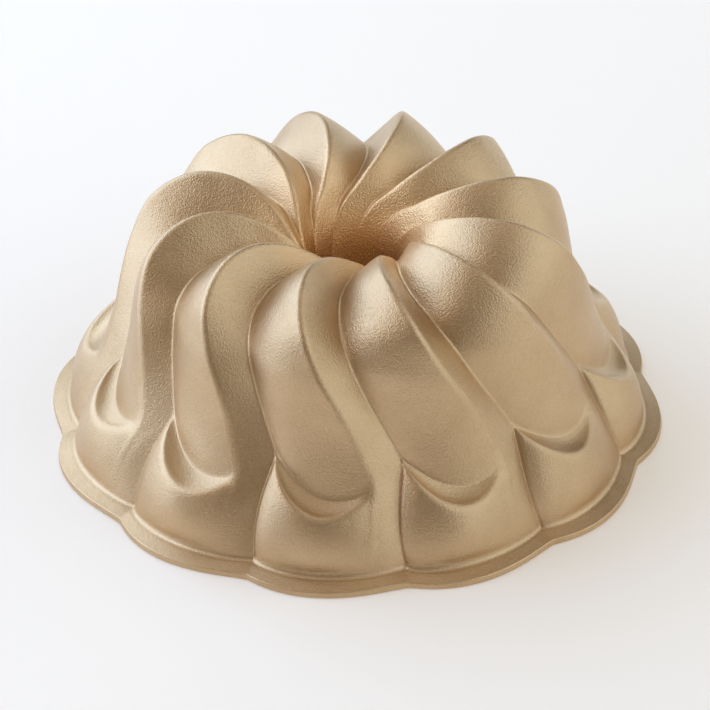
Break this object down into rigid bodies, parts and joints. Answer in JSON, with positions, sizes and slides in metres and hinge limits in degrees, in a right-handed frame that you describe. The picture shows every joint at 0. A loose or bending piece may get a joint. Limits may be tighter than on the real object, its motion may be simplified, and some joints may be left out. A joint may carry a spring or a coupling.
{
  "type": "bundt pan",
  "caption": "Deep fluted ring cake pan with swirling flutes, scalloped petal skirt, lobed rim flange and hollow centre tube, shown standing on its rim.",
  "frame": {"origin": "on the pan's axis, in the plane of the rim's flat underside", "axes": "+Z along the axis from the open mouth towards the crown; -Y is the side seen from the front"},
  "size_m": [0.2574, 0.2574, 0.1062],
  "materials": {
    "gold_coat": "cast aluminium with a thin satin champagne-gold release coat, finely pebbled"
  },
  "bodies": {
    "root": {"rim_flange": "gold_coat", "petal_skirt": "gold_coat", "fluted_wall": "gold_coat", "crown": "gold_coat", "funnel": "gold_coat", "centre_tube": "gold_coat"}
  },
  "joints": []
}
